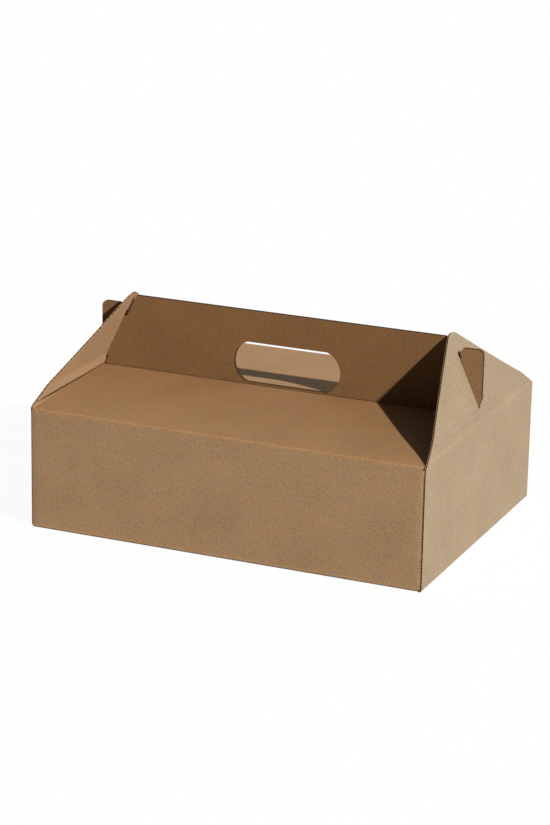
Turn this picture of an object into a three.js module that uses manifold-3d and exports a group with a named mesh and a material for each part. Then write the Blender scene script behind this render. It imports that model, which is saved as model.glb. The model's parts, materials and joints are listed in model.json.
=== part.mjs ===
import * as THREE from 'three';
import { mergeVertices } from 'three/addons/utils/BufferGeometryUtils.js';
import Module from 'manifold-3d';

// Carry box folded from one sheet of kraft corrugated board, in millimetres, +Z up.
// X runs along the handle, the front wall faces -Y, and the origin is the middle of the underside.

// Outside of the box
const LENGTH = 340;
const DEPTH = 256;
const WALL_HEIGHT = 101;
const BOARD = 1.5;

// Folds: radius of the board's middle layer at a fold, and at the softer crease under the handle
const FOLD_RADIUS = 1.25;
const CREASE_RADIUS = 1.05;

// Top panels rise this much from their wall to the crease under the handle
const PANEL_RISE = 5.4;

// Handle: two plies that stand back to back on the top panels
const HANDLE_HEIGHT = 62.7;
const HANDLE_CORNER = 1.5;
const PLY_GAP = 0.3;

// Hand hole through both plies: its straight edges end in shallow arcs
const HOLE_ABOVE_CREASE = 1.6;
const HOLE_HEIGHT = 34.3;
const HOLE_STRAIGHT = 71;
const HOLE_END_BULGE = 11.8;

// End walls stand above the top panels' ends, and their upper corners slope with the gables
const END_WALL_RISE = 7;
const END_WALL_SETBACK = 0.4;
const END_WALL_SHOULDER = 3;
const END_WALL_FOOT = 8;

// Gable flaps: triangles hinged on the end walls that lean in against the handle
const GABLE_LEAN = THREE.MathUtils.degToRad(25.1);
const GABLE_INSET = 10.7;
const GABLE_BRIDGE = 17.66;
const GABLE_TIP_RADIUS = 5;

// Ears on the handle: necks pass through the gable slits, and hooks stand up outside them
const EAR_SETBACK = 1;
const EAR_DROP = 8.4;
const EAR_HEEL = 13;
const EAR_OUTER_RADIUS = 4.6;
const EAR_INNER_RADIUS = 3.6;
const NECK_BOTTOM = 7.5;
const NECK_TOP = 47.4;
const NECK_TAPER = 0.5;

// Corner flaps, glued inside the end walls
const CORNER_FLAP_LENGTH = 70;
const CORNER_FLAP_TAPER = 6;
const CORNER_FLAP_DROP = 2.5;

// Clearances
const CREASE_GAP = 0.3;
const SLIT_SIDE_GAP = 0.3;
const SLIT_TOP_GAP = 0.7;
const SLIT_BOTTOM_GAP = 1.9;
const HANDLE_TO_GABLE = 0.6;
const HOOK_TO_GABLE = 0.5;
const PANEL_END_GAP = 0.5;

// How far glued faces run into each other, how far a cut runs past what it cuts, and the facets in an arc
const GLUE = 0.05;
const OVERRUN = 2;
const ARC_STEPS = 6;

// Sizes that follow from these
const HALF_LENGTH = LENGTH / 2;
const HALF_DEPTH = DEPTH / 2;
const INSIDE = HALF_LENGTH - BOARD;
const FOLD_OUTSIDE = FOLD_RADIUS + BOARD / 2;
const PLY_MIDDLE = (PLY_GAP + BOARD) / 2;
const PLY_FACE = PLY_GAP / 2 + BOARD;
const HANDLE_BASE = WALL_HEIGHT + PANEL_RISE;
const HANDLE_TOP = HANDLE_BASE + HANDLE_HEIGHT;
const END_WALL_HALF = HALF_DEPTH - END_WALL_SETBACK;
const CREASE_HEIGHT = WALL_HEIGHT + END_WALL_RISE;
const EAR_REACH = HALF_LENGTH - EAR_SETBACK;
const EAR_TOP = HANDLE_TOP - EAR_DROP;

// Unit vectors of the right gable in the XZ plane: up along the flap, and out of its outer face
const along = new THREE.Vector2(-Math.sin(GABLE_LEAN), Math.cos(GABLE_LEAN));
const outward = new THREE.Vector2(Math.cos(GABLE_LEAN), Math.sin(GABLE_LEAN));

// A point in the XZ plane from the right gable's crease: so far up the flap and so far inside its outer face
const fromCrease = (up, inside) => [
  HALF_LENGTH + up * along.x - inside * outward.x,
  CREASE_HEIGHT + up * along.y - inside * outward.y,
];

// The handle's side edge runs up along the right gable's inner face
const EDGE_INSIDE = BOARD + HANDLE_TO_GABLE;
const [EDGE_X, EDGE_Z] = fromCrease(0, EDGE_INSIDE);
const edgeHeight = (x) => EDGE_Z + (EDGE_X - x) / Math.tan(GABLE_LEAN);
const edgeReach = (z) => EDGE_X - (z - EDGE_Z) * Math.tan(GABLE_LEAN);

// The hook's inner edge rises from the neck's top, and its rounded corner sweeps furthest up the slit
const EAR_INNER = fromCrease(NECK_TOP, -HOOK_TO_GABLE)[0];
const HOOK_SWEEP = EAR_INNER_RADIUS + Math.hypot(
  HALF_LENGTH - EAR_INNER - EAR_INNER_RADIUS,
  EAR_TOP - EAR_INNER_RADIUS - CREASE_HEIGHT,
);
const SLIT_TOP = HOOK_SWEEP + SLIT_TOP_GAP;
const SLIT_BOTTOM = NECK_BOTTOM - SLIT_BOTTOM_GAP;
const SLIT_HALF = PLY_FACE + SLIT_SIDE_GAP;
const GABLE_HALF_WIDTH = END_WALL_HALF - GABLE_INSET;
const GABLE_HEIGHT = SLIT_TOP + GABLE_BRIDGE;
const GABLE_SLOPE = GABLE_HEIGHT / GABLE_HALF_WIDTH;

const wasm = await Module();
wasm.setup();

// A closed three.js geometry as a solid that can be joined and cut
function solidOf(geometry) {
  const bare = geometry.clone();
  bare.deleteAttribute('normal');
  bare.deleteAttribute('uv');
  const merged = mergeVertices(bare, 1e-4);
  return new wasm.Manifold(new wasm.Mesh({
    numProp: 3,
    vertProperties: merged.attributes.position.array,
    triVerts: new Uint32Array(merged.index.array),
  }));
}

// The solid's surface as a three.js geometry again
function geometryOf(solid) {
  const mesh = solid.getMesh();
  const geometry = new THREE.BufferGeometry();
  geometry.setAttribute('position', new THREE.BufferAttribute(mesh.vertProperties, 3));
  geometry.setIndex(new THREE.BufferAttribute(mesh.triVerts, 1));
  geometry.computeVertexNormals();
  return geometry;
}

// A closed outline through corners [x, y, radius], each rounded by its radius if it has one
function roundedOutline(corners) {
  const points = [];
  corners.forEach(([x, y, radius = 0], i) => {
    const corner = new THREE.Vector2(x, y);
    if (radius === 0) {
      points.push(corner);
      return;
    }
    const before = corners[(i + corners.length - 1) % corners.length];
    const after = corners[(i + 1) % corners.length];
    const back = new THREE.Vector2(before[0], before[1]).sub(corner).normalize();
    const on = new THREE.Vector2(after[0], after[1]).sub(corner).normalize();
    const half = Math.acos(back.dot(on)) / 2;
    const centre = back.clone().add(on).setLength(radius / Math.sin(half)).add(corner);
    const from = back.clone().multiplyScalar(radius / Math.tan(half)).add(corner).sub(centre);
    const to = on.clone().multiplyScalar(radius / Math.tan(half)).add(corner).sub(centre);
    const sweep = Math.atan2(from.cross(to), from.dot(to));
    for (let k = 0; k <= ARC_STEPS; k += 1) {
      points.push(from.clone().rotateAround(new THREE.Vector2(), (sweep * k) / ARC_STEPS).add(centre));
    }
  });
  return points;
}

// The outline of a board bent along a path of corners [x, y, radius] of its middle layer
function foldedOutline(path) {
  const left = [];
  const right = [];
  const lay = (point, normal) => {
    left.push(normal.clone().multiplyScalar(BOARD / 2).add(point));
    right.push(normal.clone().multiplyScalar(-BOARD / 2).add(point));
  };
  const normalOf = (i) => {
    const run = new THREE.Vector2(path[i + 1][0] - path[i][0], path[i + 1][1] - path[i][1]).normalize();
    return new THREE.Vector2(-run.y, run.x);
  };
  path.forEach(([x, y, radius], i) => {
    const corner = new THREE.Vector2(x, y);
    if (i === 0 || i === path.length - 1) {
      lay(corner, normalOf(Math.min(i, path.length - 2)));
      return;
    }
    const before = normalOf(i - 1);
    const after = normalOf(i);
    const turn = Math.atan2(before.cross(after), before.dot(after));
    const side = Math.sign(turn);
    const toCentre = before.clone().add(after).setLength((side * radius) / Math.cos(turn / 2));
    const centre = toCentre.add(corner);
    for (let k = 0; k <= ARC_STEPS; k += 1) {
      const normal = before.clone().rotateAround(new THREE.Vector2(), (turn * k) / ARC_STEPS);
      lay(normal.clone().multiplyScalar(-side * radius).add(centre), normal);
    }
  });
  return [...left, ...right.reverse()];
}

// An outline drawn in a plane, drawn out to a solid centred on that plane, with holes if any
function prism(points, thickness, holes = []) {
  const shape = new THREE.Shape(points);
  shape.holes = holes.map((hole) => new THREE.Path(hole));
  const geometry = new THREE.ExtrudeGeometry(shape, { depth: thickness, bevelEnabled: false });
  return geometry.translate(0, 0, -thickness / 2);
}

// Turns that carry a prism's drawing plane to the object's YZ plane and XZ plane
const toYZ = new THREE.Matrix4().set(0, 0, 1, 0, 1, 0, 0, 0, 0, 1, 0, 0, 0, 0, 0, 1);
const toXZ = new THREE.Matrix4().set(1, 0, 0, 0, 0, 0, -1, 0, 0, 1, 0, 0, 0, 0, 0, 1);

// The long strip: handle ply, top panel, front wall, base, rear wall, top panel and handle ply
function buildStrip() {
  const slope = (HANDLE_BASE - WALL_HEIGHT) / (HALF_DEPTH - PLY_FACE);
  const panelMiddle = (y) => WALL_HEIGHT + (HALF_DEPTH - y) * slope - (BOARD / 2) * Math.hypot(1, slope);
  const wall = HALF_DEPTH - BOARD / 2;
  const half = [
    [PLY_MIDDLE, HANDLE_TOP, 0],
    [PLY_MIDDLE, panelMiddle(PLY_MIDDLE), CREASE_RADIUS],
    [wall, panelMiddle(wall), FOLD_RADIUS],
    [wall, BOARD / 2, FOLD_RADIUS],
  ];
  const path = [...half.map(([y, z, r]) => [-y, z, r]), ...half.slice().reverse()];
  return solidOf(prism(foldedOutline(path), 2 * (EAR_REACH + OVERRUN)).applyMatrix4(toYZ));
}

// Side view of the strip: full length below, then the panels' ends, and the handle with its ears and hole
function buildSideView() {
  const panelEnd = INSIDE - PANEL_END_GAP;
  const wallTop = WALL_HEIGHT - BOARD - CORNER_FLAP_DROP / 2;
  const rightSide = [
    [INSIDE + GLUE, -OVERRUN],
    [INSIDE + GLUE, wallTop],
    [panelEnd, wallTop],
    [panelEnd, edgeHeight(panelEnd)],
    fromCrease(NECK_BOTTOM, EDGE_INSIDE),
    fromCrease(NECK_BOTTOM + NECK_TAPER, -HOOK_TO_GABLE),
    [EAR_REACH, CREASE_HEIGHT + EAR_HEEL],
    [EAR_REACH, EAR_TOP, EAR_OUTER_RADIUS],
    [EAR_INNER, EAR_TOP, EAR_INNER_RADIUS],
    fromCrease(NECK_TOP, -HOOK_TO_GABLE),
    fromCrease(NECK_TOP, EDGE_INSIDE),
    [edgeReach(HANDLE_TOP + OVERRUN), HANDLE_TOP + OVERRUN],
  ];
  const leftSide = rightSide.map(([x, z, r]) => [-x, z, r]).reverse();
  const rise = HOLE_HEIGHT / 2;
  const radius = (rise * rise + HOLE_END_BULGE * HOLE_END_BULGE) / (2 * HOLE_END_BULGE);
  const swing = Math.asin(rise / radius);
  const centre = HOLE_STRAIGHT / 2 + HOLE_END_BULGE - radius;
  const hole = [];
  [1, -1].forEach((side) => {
    for (let k = -ARC_STEPS; k <= ARC_STEPS; k += 1) {
      const angle = (k * swing) / ARC_STEPS;
      hole.push(new THREE.Vector2(
        side * (centre + radius * Math.cos(angle)),
        HANDLE_BASE + HOLE_ABOVE_CREASE + rise + side * radius * Math.sin(angle),
      ));
    }
  });
  const outline = roundedOutline([...rightSide, ...leftSide]);
  return solidOf(prism(outline, DEPTH + 2 * OVERRUN, [hole]).applyMatrix4(toXZ));
}

// What is cut off the handle's upper right corner
function buildHandleCorner() {
  const x = edgeReach(HANDLE_TOP);
  const outline = [
    [x - HANDLE_CORNER, HANDLE_TOP],
    [edgeReach(HANDLE_TOP - HANDLE_CORNER), HANDLE_TOP - HANDLE_CORNER],
    [x + HANDLE_CORNER, HANDLE_TOP + OVERRUN],
    [x - HANDLE_CORNER, HANDLE_TOP + OVERRUN],
  ].map(([px, pz]) => new THREE.Vector2(px, pz));
  return solidOf(prism(outline, 2 * (PLY_FACE + OVERRUN)).applyMatrix4(toXZ));
}

// Right end wall: folded up from the base, cut to the gable's sloping line and bevelled at the crease
function buildEndWall() {
  const path = [
    [INSIDE - END_WALL_FOOT, BOARD / 2, 0],
    [HALF_LENGTH - BOARD / 2, BOARD / 2, FOLD_RADIUS],
    [HALF_LENGTH - BOARD / 2, CREASE_HEIGHT + OVERRUN / 2, 0],
  ];
  const board = solidOf(prism(foldedOutline(path), 2 * END_WALL_HALF).applyMatrix4(toXZ));
  const shoulder = CREASE_HEIGHT - (END_WALL_HALF - GABLE_HALF_WIDTH) * GABLE_SLOPE;
  const half = [
    [END_WALL_HALF, 0, FOLD_OUTSIDE],
    [END_WALL_HALF, shoulder, END_WALL_SHOULDER],
    [GABLE_HALF_WIDTH - OVERRUN / GABLE_SLOPE, CREASE_HEIGHT + OVERRUN, 0],
  ];
  const outline = roundedOutline([...half, ...half.map(([y, z, r]) => [-y, z, r]).reverse()]);
  const face = solidOf(prism(outline, LENGTH + 2 * OVERRUN).applyMatrix4(toYZ));
  const above = [
    [-CREASE_GAP, -2 * OVERRUN],
    [-CREASE_GAP, BOARD + OVERRUN],
    [3 * OVERRUN, BOARD + OVERRUN],
    [3 * OVERRUN, -2 * OVERRUN],
  ].map(([up, inside]) => new THREE.Vector2(...fromCrease(up, inside)));
  return board.intersect(face).subtract(solidOf(prism(above, DEPTH + 2 * OVERRUN).applyMatrix4(toXZ)));
}

// One corner flap, glued inside the right end wall at the front, with a tapered free end
function buildCornerFlap() {
  const top = WALL_HEIGHT - BOARD - CORNER_FLAP_DROP;
  const outline = [
    [-HALF_DEPTH + GLUE, BOARD / 2],
    [-HALF_DEPTH + CORNER_FLAP_LENGTH, CORNER_FLAP_TAPER],
    [-HALF_DEPTH + CORNER_FLAP_LENGTH, top - CORNER_FLAP_TAPER],
    [-HALF_DEPTH + GLUE, top],
  ].map(([y, z]) => new THREE.Vector2(y, z));
  const flap = prism(outline, BOARD + GLUE).applyMatrix4(toYZ);
  return flap.translate(INSIDE - (BOARD - GLUE) / 2, 0, 0);
}

// What is cut off the strip's upright edge at the front right corner to leave a rounded fold
function buildFoldWaste() {
  const middleX = INSIDE + GLUE - FOLD_OUTSIDE;
  const middleY = FOLD_OUTSIDE - HALF_DEPTH;
  const outline = [
    new THREE.Vector2(middleX, -HALF_DEPTH - OVERRUN),
    new THREE.Vector2(INSIDE + OVERRUN, -HALF_DEPTH - OVERRUN),
    new THREE.Vector2(INSIDE + OVERRUN, middleY),
  ];
  for (let k = 0; k <= ARC_STEPS; k += 1) {
    const angle = (-Math.PI / 2) * (k / ARC_STEPS);
    outline.push(new THREE.Vector2(
      middleX + FOLD_OUTSIDE * Math.cos(angle),
      middleY + FOLD_OUTSIDE * Math.sin(angle),
    ));
  }
  return prism(outline, WALL_HEIGHT + 2 * OVERRUN).translate(0, 0, WALL_HEIGHT / 2);
}

// Copies of a solid mirrored to the box's two ends or four corners
const ENDS = [[1, 1], [-1, 1]];
const CORNERS = [...ENDS, [1, -1], [-1, -1]];
function mirrored(solid, places) {
  return places.map(([x, y]) => solid.transform(new THREE.Matrix4().makeScale(x, y, 1).elements));
}

function buildCarton() {
  let carton = buildStrip().intersect(buildSideView());
  mirrored(buildHandleCorner(), ENDS).forEach((corner) => {
    carton = carton.subtract(corner);
  });
  mirrored(solidOf(buildFoldWaste()), CORNERS).forEach((waste) => {
    carton = carton.subtract(waste);
  });
  mirrored(solidOf(buildCornerFlap()), CORNERS).forEach((flap) => {
    carton = carton.add(flap);
  });
  mirrored(buildEndWall(), ENDS).forEach((wall) => {
    carton = carton.add(wall);
  });
  return geometryOf(carton);
}

// A gable flap lying in its own YZ plane: its crease on the Y axis and its outer face at X = 0
function buildGable() {
  const outline = roundedOutline([
    [-GABLE_HALF_WIDTH, 0],
    [GABLE_HALF_WIDTH, 0],
    [0, GABLE_HEIGHT, GABLE_TIP_RADIUS],
  ]);
  const slit = [
    [-SLIT_HALF, SLIT_BOTTOM],
    [SLIT_HALF, SLIT_BOTTOM],
    [SLIT_HALF, SLIT_TOP],
    [-SLIT_HALF, SLIT_TOP],
  ].map(([y, up]) => new THREE.Vector2(y, up));
  return prism(outline, BOARD, [slit]).applyMatrix4(toYZ).translate(-BOARD / 2, 0, 0);
}

// Kraft board: a dull brown paper, a little lighter on the end with the light on it
const kraft = new THREE.MeshStandardMaterial({ color: 0xa38567, roughness: 0.92, metalness: 0 });
const kraftGable = new THREE.MeshStandardMaterial({ color: 0xa88a68, roughness: 0.92, metalness: 0 });

const carryBox = new THREE.Group();

const carton = new THREE.Mesh(buildCarton(), kraft);
carton.name = 'carton';
carryBox.add(carton);

const gableGeometry = buildGable();
[['gable_flap_right', 0], ['gable_flap_left', Math.PI]].forEach(([name, turn]) => {
  const end = new THREE.Group();
  end.rotation.z = turn;
  const flap = new THREE.Mesh(gableGeometry, kraftGable.clone());
  flap.name = name;
  flap.position.set(HALF_LENGTH, 0, CREASE_HEIGHT);
  flap.rotation.y = -GABLE_LEAN;
  end.add(flap);
  carryBox.add(end);
});

export default carryBox;
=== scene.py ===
"""Kraft carry box: folded board, hooked gable flaps and a double handle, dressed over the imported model."""

import json
import math

import bpy
import numpy as np
from mathutils import Matrix, Vector


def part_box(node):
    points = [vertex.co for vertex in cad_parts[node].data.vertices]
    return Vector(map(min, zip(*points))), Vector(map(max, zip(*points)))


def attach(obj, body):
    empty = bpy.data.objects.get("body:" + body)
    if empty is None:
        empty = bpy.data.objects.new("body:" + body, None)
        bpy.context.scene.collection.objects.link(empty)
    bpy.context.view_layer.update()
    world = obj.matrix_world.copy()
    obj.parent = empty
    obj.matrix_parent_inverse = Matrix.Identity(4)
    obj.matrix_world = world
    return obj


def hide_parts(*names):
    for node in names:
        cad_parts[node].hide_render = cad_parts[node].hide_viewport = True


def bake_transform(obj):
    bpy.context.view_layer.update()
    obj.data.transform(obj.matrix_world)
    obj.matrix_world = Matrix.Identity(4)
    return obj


bl_info = {
    "name": "Kraft carry box",
    "version": (1, 0, 0),
    "blender": (4, 5, 0),
    "location": "3D View > Sidebar > Carry Box",
    "description": "Builds a folded corrugated carry box with a hand hole and hooked gable flaps",
    "category": "Add Mesh",
}

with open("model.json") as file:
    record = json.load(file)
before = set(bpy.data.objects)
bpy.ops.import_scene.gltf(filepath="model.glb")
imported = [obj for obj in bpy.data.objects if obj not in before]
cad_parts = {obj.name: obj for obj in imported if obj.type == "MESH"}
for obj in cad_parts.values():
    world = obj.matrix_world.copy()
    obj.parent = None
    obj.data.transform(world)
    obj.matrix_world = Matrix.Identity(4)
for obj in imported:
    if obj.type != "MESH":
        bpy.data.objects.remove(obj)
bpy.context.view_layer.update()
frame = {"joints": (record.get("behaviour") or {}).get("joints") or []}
CARTON_LOW, CARTON_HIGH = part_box("carton")
HINGES = {joint["child"]: joint["pos_m"] for joint in frame["joints"]}

# All lengths are in metres. TINY joins rows that are meant to be the same.
TINY = 1e-7
# The ears, as distances up the gable from its crease: the neck's foot, the heel and the notch.
NECK_FOOT, HEEL, NECK_NOTCH = 0.0075, 0.008, 0.0474
# Room between the neck and the gable's inner face, and between the hook and its outer face.
NECK_ROOM, HOOK_ROOM = 0.0006, 0.0005
# Width of the neck's foot, height at which an ear has its full reach, and radii of the hook's top.
FOOT_WIDTH, EAR_FULL, HOOK_INNER, HOOK_OUTER = 0.0004, 0.121, 0.0034, 0.0046
# How far the handle's side is set back below and above the neck, and the height that this takes.
SIDE_SET_BACK, NECK_STEP = 0.0022, 0.0008
# Radii of the board's middle at the crease under the handle, the gable's score line and its bend.
HANDLE_FOLD, SCORE_RADIUS, CREASE_RADIUS = 0.00105, 0.006, 0.03
# How far the top panels and the base stop short of the end walls, and the end walls of the depth.
PANEL_ROOM, BASE_ROOM, END_ROOM = 0.0005, 0.0006, 0.0004
# An end's path: its run on the base, the score line above the front wall, the bend up the gable.
BASE_RUN, SCORE_RISE, BEND_UP = 0.0012, 0.0012, 0.009
# Where a gable blends from body to body: half the length of that run, and how far below its hinge.
FLAP_WIDTH, FLAP_TAPER, FLAP_STEP = 0.068, 0.15, 0.012
# How far the front wall's corners stand out, and the width of the run up to them.
LEFT_STANDS_OUT, RIGHT_STANDS_OUT, STAND_OUT_RUN = 0.0014, 0.0005, 0.01
# How far the walls, the top panels and the end walls bow in their middles.
WALL_BOW, PANEL_SAG, END_BOW = 0.0007, 0.0006, 0.0006
# How soft the gable's shoulder is, and how far its point leans to one side.
SHOULDER_SOFTNESS, POINT_SHIFT = 0.0022, 0.0025
# How far the shoulder's front lies further in and its rear further out, and the wall's rear edge in.
SHOULDER_IN, SHOULDER_OUT, WALL_REAR_IN = 0.0018, 0.0016, 0.0019
# Painted shade marks, below 0: dark lines in creases, shade at the front corners, a line inside the gables.
SHADE_LINES, CORNER_SHADE, INNER_SHADE_LINE = 2.2, 0.8, 2.4
# Painted highlight along the score line under a gable, and painted shade on the gable's outside.
SCORE_HIGHLIGHT, GABLE_SHADE = 0.6, 0.44
# Shares of the handle's painted shade at a top panel's far edge, on one ear of each ply, and on the rear
# panel.
PANEL_HANDLE_SHADE, EAR_HANDLE_SHADE, REAR_PANEL_SHARE = 0.66, 0.72, 0.4
# Distance from the middle at which the ears start, and the share of the handle's painted shade inside the
# end boards.
EAR_FROM, END_INSIDE_HANDLE_SHADE = 0.15, 0.14
# A cut edge's bands as depths through the board, and how far the fluted layer is set back.
RIM_DEPTHS, RIM_INSET = (0.0, 0.17, 0.17, 0.83, 0.83, 1.0), 0.00035
# The camera: its place, its turns in degrees as yaw, pitch and roll, its lens and its shift.
CAMERA_PLACE, CAMERA_TURNS = (0.8527, -2.0094, 0.7640), (23.25, 17.27, 1.11)
CAMERA_LENS, CAMERA_SHIFT = 121.12, 0.0004
# The direction in which the key light travels, and the side that the soft light comes from.
KEY_TRAVEL, SOFT_SIDE = (-1.393, 0.649, -1.0), (0.62, 0.78, 0.0)


def size(name, description, default):
    """A length property in metres."""
    return bpy.props.FloatProperty(
        name=name, description=description, default=default, min=0.0, precision=5, unit="LENGTH"
    )


def colour(name, description, default):
    """A colour property, stored as linear light."""
    return bpy.props.FloatVectorProperty(
        name=name, description=description, default=default, size=3, min=0.0, max=1.5, subtype="COLOR"
    )


def share(name, description, default, top=1.0):
    """A plain number property from nothing to top."""
    return bpy.props.FloatProperty(
        name=name, description=description, default=default, min=0.0, max=top
    )


class CarryBoxSizes(bpy.types.PropertyGroup):
    """Sizes of the folded board"""

    length: size("Length", "Outside length along the handle", CARTON_HIGH[0] - CARTON_LOW[0])
    depth: size("Depth", "Outside depth from front wall to rear wall", CARTON_HIGH[1] - CARTON_LOW[1])
    handle_top: size("Handle top", "Height of the handle's top edge", CARTON_HIGH[2])
    wall: size("Wall height", "Height of the front and rear walls", 0.101)
    handle_base: size("Handle base", "Height of the crease under the handle", 0.1064)
    board: size("Board", "Thickness of the corrugated board", 0.0015)
    fold: size("Fold radius", "Radius of the board's middle at a fold", 0.00125)
    ply_gap: size("Ply gap", "Gap between the two handle plies", 0.0003)
    lean: bpy.props.FloatProperty(
        name="Gable lean", description="How far the gable flaps lean in",
        default=math.radians(25.1), subtype="ANGLE",
    )
    gable_inset: size("Gable inset", "How far the ends of the gable's crease lie inside the wall", 0.0107)
    gable_height: size("Gable height", "Height of the gable's point along the flap, before rounding", 0.0736)
    gable_tip: size("Gable tip", "Radius of the gable's point", 0.018)
    slit_top: size("Slit top", "Top of the gable slit, along the flap", 0.0531)
    slit_bottom: size("Slit bottom", "Bottom of the gable slit, along the flap", 0.0056)
    slit_half: size("Slit half width", "Half the width of the gable slit", 0.00182)
    hole_bottom: size("Hole bottom", "Height of the hand hole's lower edge", 0.108)
    hole_height: size("Hole height", "Height of the hand hole", 0.0343)
    hole_straight: size("Hole straight", "Length of the hand hole's straight edges", 0.071)
    hole_bulge: size("Hole bulge", "How far the hand hole's ends curve out past its straight edges", 0.0118)
    ear_top: size("Ear top", "Height of the hook's top edge", 0.1613)
    ear_reach: size("Ear reach", "Distance of the ears' outer edges from the middle", 0.169)


class CarryBoxFinish(bpy.types.PropertyGroup):
    """Colours and pattern of the board"""

    paper: colour("Kraft paper", "Colour of the liners", (0.372, 0.231, 0.122))
    # Painted shade: the handle tint darkens and warms the handle and the top panels beside it, where less
    # light falls.
    handle_shade_tint: colour("Handle tint", "Factor on that colour for the handle", (0.64, 0.525, 0.39))
    # Painted light: the end tint makes the end boards' outsides paler and cooler, as the strong light from
    # the right falls on them.
    end_lit_tint: colour("End tint", "Factor on that colour outside the end boards", (0.735, 0.88, 1.08))
    medium: colour("Fluted layer", "Colour of the fluted layer in a cut edge", (0.27, 0.135, 0.06))
    # Painted shade: the flute hollow's near black stands in for the shade deep inside the open flutes.
    hollow: colour("Flute hollow", "Colour deep in the flutes", (0.012, 0.006, 0.004))
    pitch: size("Flute pitch", "Distance from flute to flute", 0.0024)
    mottle: share("Mottle", "Strength of the paper's cloudy tone", 1.0, 2.0)
    ribbing: share("Ribbing", "How far the flutes show through the liner", 1.0, 2.0)


class CarryBoxStage(bpy.types.PropertyGroup):
    """Light and floor"""

    key: share("Key light", "Strength of the one strong light", 5.45, 10.0)
    fill: share("Fill", "Strength of the soft light from behind and from the right", 0.66, 2.0)
    floor: colour("Floor", "Colour of the floor under the box", (0.38, 0.38, 0.38))


def rounded_path(corners, step=math.radians(9)):
    """Points and lengths along a path through corners (x, y, radius).

    Each inner corner becomes an arc of its radius that touches both straight runs, and the length at a
    point is the sum of the steps before it.
    """
    points = [np.array(corners[0][:2])]
    for before, corner, after in zip(corners, corners[1:], corners[2:]):
        here = np.array(corner[:2])
        back = np.array(before[:2]) - here
        on = np.array(after[:2]) - here
        back, on = back / np.linalg.norm(back), on / np.linalg.norm(on)
        half = math.acos(np.clip(back @ on, -1, 1)) / 2
        middle = (back + on) / np.linalg.norm(back + on)
        centre = here + middle * corner[2] / math.sin(half)
        start = here + back * corner[2] / math.tan(half) - centre
        end = here + on * corner[2] / math.tan(half) - centre
        sweep = math.atan2(start[0] * end[1] - start[1] * end[0], start @ end)
        turns = np.linspace(0, sweep, max(4, round(abs(sweep) / step)) + 1)
        cos, sin = np.cos(turns), np.sin(turns)
        arc = np.stack([start[0] * cos - start[1] * sin, start[0] * sin + start[1] * cos], 1) + centre
        points.extend(arc)
    points.append(np.array(corners[-1][:2]))
    points = np.array(points)
    lengths = np.concatenate([[0], np.cumsum(np.linalg.norm(np.diff(points, axis=0), axis=1))])
    return points, lengths


def rows_between(low, high, spacing, extra=()):
    """Row positions from low to high about a spacing apart, with the extra ones that lie between them."""
    even = np.linspace(low, high, max(1, round((high - low) / spacing)) + 1)
    extra = np.asarray(extra, float)
    rows = np.concatenate([even, extra[(extra > low) & (extra < high)]])
    rows = np.unique(np.round(rows, 8))
    keep = np.concatenate([[True], np.diff(rows) > 4e-5])
    keep |= np.isin(rows, np.round(extra, 8))
    return rows[keep]


def patch(rows, left, right, columns):
    """A panel of the flat sheet as (points, squares).

    A point at row s and column t is ((1 - t) left(s) + t right(s), s), with t in even steps from 0 to 1.
    """
    t = np.linspace(0, 1, columns + 1)
    x = left[:, None] * (1 - t) + right[:, None] * t
    s = np.broadcast_to(rows[:, None], x.shape)
    corner = np.arange(len(rows) - 1)[:, None] * (columns + 1) + np.arange(columns)
    squares = np.stack([corner, corner + columns + 1, corner + columns + 2, corner + 1], -1)
    return np.stack([x, s], -1).reshape(-1, 2), squares.reshape(-1, 4)


def mirrored(panel):
    """The panel with left and right changed over, its squares still turning the same way."""
    points, squares = panel
    return points * [-1, 1], squares[:, ::-1]


def weld(panels):
    """One sheet from several panels: points within a micrometre of each other become one."""
    starts = np.cumsum([0] + [len(points) for points, _ in panels])
    points = np.concatenate([points for points, _ in panels])
    squares = np.concatenate([squares + start for (_, squares), start in zip(panels, starts)])
    _, first, inverse = np.unique(np.round(points, 6), axis=0, return_index=True, return_inverse=True)
    return points[first], inverse.reshape(-1)[squares]


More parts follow.
